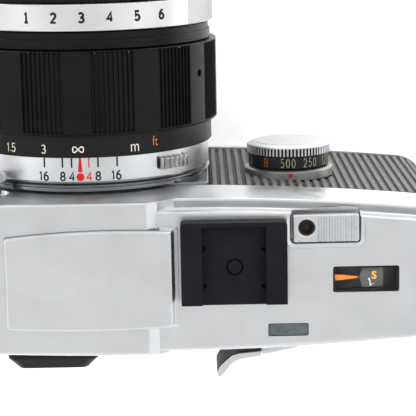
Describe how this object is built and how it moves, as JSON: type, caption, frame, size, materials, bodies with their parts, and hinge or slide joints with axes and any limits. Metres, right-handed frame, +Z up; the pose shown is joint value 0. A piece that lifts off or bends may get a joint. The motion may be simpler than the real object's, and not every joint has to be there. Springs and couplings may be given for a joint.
{
  "type": "half frame camera",
  "caption": "Half-frame single-lens reflex camera with fast standard lens, front speed dial, stepped satin top cover, accessory shoe and ribbed body covering.",
  "frame": {"origin": "bottom centre of the camera's bounding box, on the surface it stands on", "axes": "+Z up, the lens looks along -Y, +X towards the viewer's left hand"},
  "size_m": [0.1418, 0.0828, 0.071],
  "materials": {
    "satin_chrome": "satin chrome plate",
    "polished_metal": "bright polished metal",
    "black_lacquer": "black enamel on aluminium",
    "black_plastic": "moulded black plastic",
    "covering": "pale and dark ribbed body covering",
    "dark_casting": "blackened die casting",
    "door_metal": "blackened sheet metal",
    "brass": "turned brass",
    "optical_glass": "coated optical glass",
    "orange_paint": "orange enamel",
    "titanium": "dull titanium sheet",
    "scale_black": "black enamel with engraved figures"
  },
  "bodies": {
    "camera_body": {"body_casting": "dark_casting", "bottom_cover": "satin_chrome", "tripod_socket": "brass", "battery_cover": "satin_chrome", "front_plate": "satin_chrome", "lens_mount_ring": "polished_metal", "front_covering_right": "covering", "front_covering_left": "covering", "door_hinge_pin": "polished_metal", "top_cover": "satin_chrome", "finder_top_plate": "satin_chrome", "accessory_shoe": "black_plastic", "counter_glass": "optical_glass", "meter_window": "optical_glass", "counter_pointer": "orange_paint", "strap_lug_left": "polished_metal", "strap_lug_right": "polished_metal", "shutter_shaft": "polished_metal", "focusing_screen": "optical_glass", "relay_prism": "optical_glass", "finder_prism": "optical_glass", "eyepiece_frame": "black_plastic", "eyepiece_lens": "optical_glass", "speed_dial_base": "satin_chrome", "sync_socket": "polished_metal", "lens_barrel": "polished_metal", "depth_scale_ring": "satin_chrome"},
    "back_door": {"back_door": "door_metal", "door_covering": "covering"},
    "pressure_plate": {"pressure_plate": "black_lacquer"},
    "door_latch": {"door_latch": "satin_chrome"},
    "rewind_release_button": {"rewind_release_button": "satin_chrome"},
    "shutter_button": {"shutter_button": "satin_chrome"},
    "advance_lever": {"advance_lever": "satin_chrome", "advance_shaft": "polished_metal"},
    "take_up_spool": {"take_up_spool": "black_plastic"},
    "film_sprocket": {"film_sprocket": "polished_metal"},
    "counter_dial": {"counter_dial": "scale_black"},
    "rewind_knob": {"rewind_knob": "satin_chrome", "rewind_fork": "polished_metal"},
    "rewind_crank": {"rewind_crank": "satin_chrome"},
    "shutter_disc": {"shutter_disc": "titanium"},
    "reflex_mirror": {"reflex_mirror": "polished_metal"},
    "speed_dial": {"speed_dial_ring": "scale_black", "speed_dial_cap": "satin_chrome"},
    "lens_release_button": {"lens_release_button": "satin_chrome"},
    "self_timer": {"self_timer_hub": "satin_chrome", "self_timer_lever": "satin_chrome"},
    "focus_ring": {"focus_ring": "black_lacquer", "distance_scale_ring": "scale_black"},
    "lens_head": {"lens_head": "black_lacquer", "front_rim": "black_lacquer", "front_element": "optical_glass", "iris_housing": "black_lacquer", "rear_element": "optical_glass", "rear_cell": "black_lacquer"},
    "aperture_ring": {"aperture_ring": "satin_chrome"},
    "iris_ring": {"iris_ring": "titanium"},
    "stop_down_tab": {"stop_down_tab": "satin_chrome"}
  },
  "joints": [
    {"name": "back_door_hinge", "type": "hinge", "parent": "camera_body", "child": "back_door", "pos_m": [-0.0623, 0.0266, 0.026], "axis": [0, 0, 1], "range_deg": [0, 100]},
    {"name": "pressure_plate_slide", "type": "slide", "parent": "back_door", "child": "pressure_plate", "axis": [0, 1, 0], "range_m": [0, 0.0004], "stiffness_N_per_m": 200},
    {"name": "door_latch_slide", "type": "slide", "parent": "camera_body", "child": "door_latch", "axis": [0, 0, -1], "range_m": [0, 0.004], "stiffness_N_per_m": 250},
    {"name": "rewind_release_slide", "type": "slide", "parent": "camera_body", "child": "rewind_release_button", "axis": [0, 0, 1], "range_m": [0, 0.0012], "stiffness_N_per_m": 300},
    {"name": "shutter_button_slide", "type": "slide", "parent": "camera_body", "child": "shutter_button", "axis": [0, 0, -1], "range_m": [0, 0.0018], "stiffness_N_per_m": 350},
    {"name": "advance_lever_hinge", "type": "hinge", "parent": "camera_body", "child": "advance_lever", "pos_m": [-0.046, 0.0196, 0.06], "axis": [0, 0, 1], "range_deg": [0, 130], "stiffness_Nm_per_rad": 0.02},
    {"name": "take_up_spool_turn", "type": "hinge", "parent": "camera_body", "child": "take_up_spool", "pos_m": [-0.0475, 0.0191, 0.031], "axis": [0, 0, 1], "range_deg": [0, 140]},
    {"name": "film_sprocket_turn", "type": "hinge", "parent": "camera_body", "child": "film_sprocket", "pos_m": [-0.0337, 0.0259, 0.0325], "axis": [0, 0, 1], "range_deg": [0, 245]},
    {"name": "counter_dial_turn", "type": "hinge", "parent": "camera_body", "child": "counter_dial", "pos_m": [-0.0429, 0.0223, 0.065], "axis": [0, 0, 1], "range_deg": [0, 10]},
    {"name": "rewind_knob_turn", "type": "hinge", "parent": "camera_body", "child": "rewind_knob", "pos_m": [0.0475, 0.0198, 0.063], "axis": [0, 0, 1], "continuous": true},
    {"name": "rewind_crank_fold", "type": "hinge", "parent": "rewind_knob", "child": "rewind_crank", "pos_m": [0.0546, 0.0198, 0.0659], "axis": [0, 1, 0], "range_deg": [0, 120]},
    {"name": "shutter_disc_turn", "type": "hinge", "parent": "camera_body", "child": "shutter_disc", "pos_m": [0, 0.0263, 0.0325], "axis": [0, 1, 0], "continuous": true},
    {"name": "mirror_swing", "type": "hinge", "parent": "camera_body", "child": "reflex_mirror", "pos_m": [0.025, 0.0236, 0.0325], "axis": [0, 0, 1], "range_deg": [0, 45], "stiffness_Nm_per_rad": 0.004},
    {"name": "speed_dial_turn", "type": "hinge", "parent": "camera_body", "child": "speed_dial", "pos_m": [-0.0294, -0.0004, 0.033], "axis": [0, 1, 0], "range_deg": [0, 327]},
    {"name": "lens_release_slide", "type": "slide", "parent": "camera_body", "child": "lens_release_button", "axis": [0, 1, 0], "range_m": [0, 0.0015], "stiffness_N_per_m": 350},
    {"name": "self_timer_turn", "type": "hinge", "parent": "camera_body", "child": "self_timer", "pos_m": [0.052, 0.0016, 0.036], "axis": [0, -1, 0], "range_deg": [0, 110]},
    {"name": "focus_turn", "type": "hinge", "parent": "camera_body", "child": "focus_ring", "pos_m": [0.014, -0.0174, 0.0325], "axis": [0, -1, 0], "range_deg": [0, 176]},
    {"name": "lens_head_travel", "type": "slide", "parent": "camera_body", "child": "lens_head", "axis": [0, -1, 0], "range_m": [0, 0.0068]},
    {"name": "aperture_turn", "type": "hinge", "parent": "lens_head", "child": "aperture_ring", "pos_m": [0.014, -0.0324, 0.0325], "axis": [0, -1, 0], "range_deg": [-37, 37]},
    {"name": "iris_turn", "type": "hinge", "parent": "lens_head", "child": "iris_ring", "pos_m": [0.014, -0.0164, 0.0325], "axis": [0, -1, 0], "range_deg": [-37, 37]},
    {"name": "stop_down_press", "type": "hinge", "parent": "camera_body", "child": "stop_down_tab", "pos_m": [0.014, -0.0024, 0.0325], "axis": [0, -1, 0], "range_deg": [0, 8], "stiffness_Nm_per_rad": 0.03}
  ],
  "couplings": [
    {"joint": "take_up_spool_turn", "follows": "advance_lever_hinge", "ratio": 1.05},
    {"joint": "film_sprocket_turn", "follows": "advance_lever_hinge", "ratio": 1.846},
    {"joint": "counter_dial_turn", "follows": "advance_lever_hinge", "ratio": 0.0385},
    {"joint": "lens_head_travel", "follows": "focus_turn", "m_per_rad": 0.0022136},
    {"joint": "iris_turn", "follows": "aperture_turn", "ratio": 1}
  ]
}
